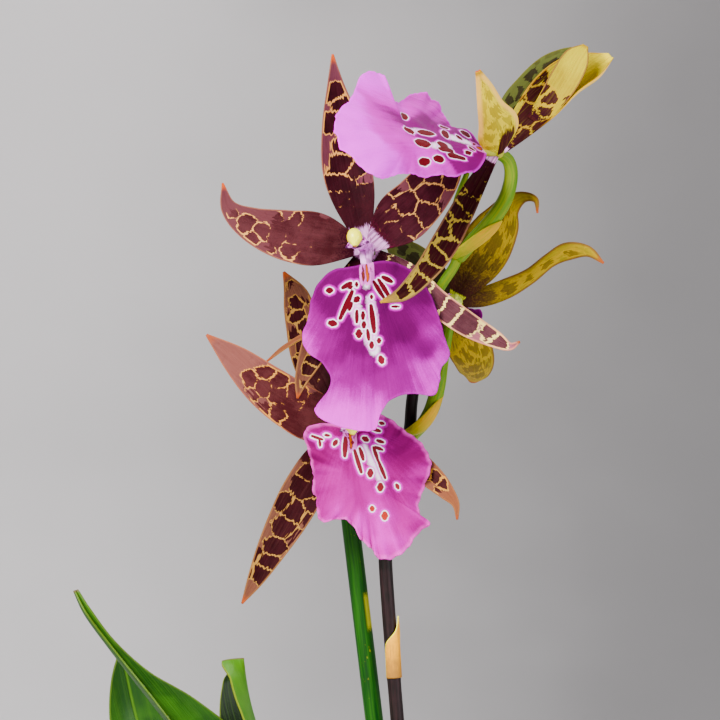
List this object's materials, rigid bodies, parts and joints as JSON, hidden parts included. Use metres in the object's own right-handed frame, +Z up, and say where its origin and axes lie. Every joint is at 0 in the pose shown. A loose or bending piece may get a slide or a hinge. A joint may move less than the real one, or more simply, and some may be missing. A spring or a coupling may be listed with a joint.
{
  "type": "potted brassia orchid",
  "caption": "Potted orchid in bloom: spotted star-shaped flowers with broad magenta lips on a staked spike, leafy bulbs, bark mix, plain round pot.",
  "frame": {"origin": "middle of the flat underside of the pot", "axes": "+Z up along the pot's axis to the flower spike, the blooms face -Y, +X to their right as seen from the front"},
  "size_m": [0.3273, 0.2894, 0.5638],
  "materials": {
    "pot": "plain dark nursery plastic, satin",
    "bark_mix": "dry loose bark chips",
    "stake": "green dyed bamboo with rubbed patches",
    "leaf": "smooth satin leaf",
    "stem": "smooth stalk, dark below and green above",
    "tepal": "waxy petal with dark blotches and a pale net",
    "column": "waxy pale flower column",
    "lip": "soft satin petal with ringed spots"
  },
  "bodies": {
    "root": {"pot": "pot", "potting_mix": "bark_mix", "stake": "stake", "shoot_a": "leaf", "shoot_b": "leaf", "shoot_c": "leaf", "flower_spike": "stem", "bloom_a_tepals": "tepal", "bloom_a_column": "column", "bloom_a_lip": "lip", "bloom_b_tepals": "tepal", "bloom_b_column": "column", "bloom_b_lip": "lip", "bloom_c_tepals": "tepal", "bloom_c_column": "column", "bloom_c_lip": "lip", "bloom_d_tepals": "tepal", "bloom_d_column": "column", "bloom_d_lip": "lip"}
  },
  "joints": []
}
